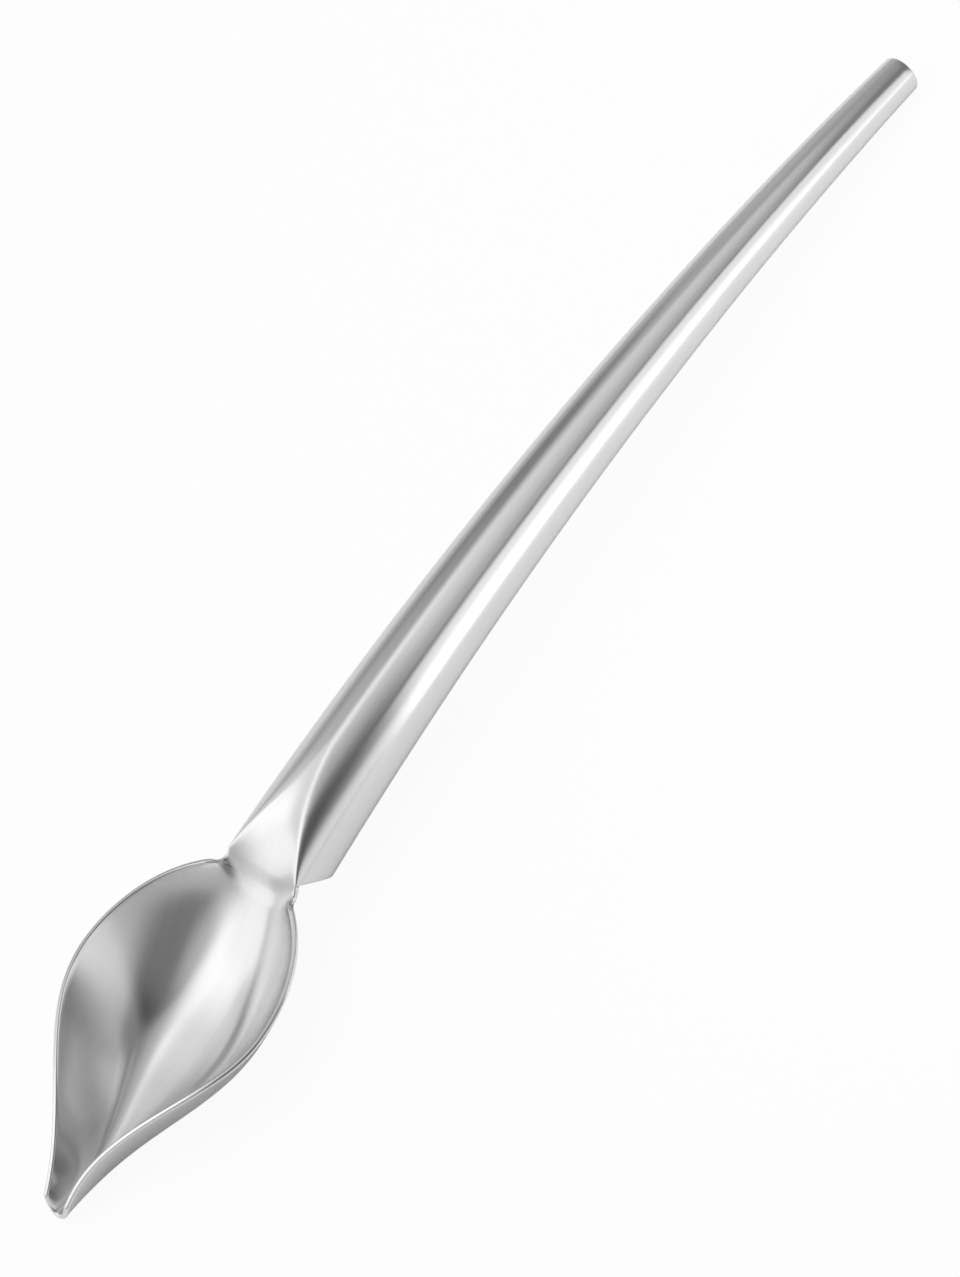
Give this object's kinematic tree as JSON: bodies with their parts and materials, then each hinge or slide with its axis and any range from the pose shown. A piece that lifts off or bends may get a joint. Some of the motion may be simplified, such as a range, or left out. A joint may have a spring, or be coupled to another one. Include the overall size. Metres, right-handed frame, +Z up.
{
  "type": "plating spoon",
  "caption": "Plating spoon: deep leaf-shaped bowl drawn out to a pouring tip, on a curved, tapering hollow handle rolled from sheet steel.",
  "frame": {"origin": "centre of the bounding box in X and Y, on the table that the bowl and the butt of the handle rest on", "axes": "+X along the spoon from the pouring tip to the butt of the handle, +Y to the left seen from above with the tip nearest, +Z up"},
  "size_m": [0.2042, 0.033, 0.0195],
  "materials": {
    "satin_steel": "satin-polished stainless steel with a fine lengthwise grain",
    "dressed_weld": "weld ground flush and polished, slightly duller than the sheet"
  },
  "bodies": {
    "root": {"bowl": "satin_steel", "handle_tube": "satin_steel", "butt_plug": "satin_steel", "neck_weld": "dressed_weld", "seam_weld": "dressed_weld"}
  },
  "joints": []
}
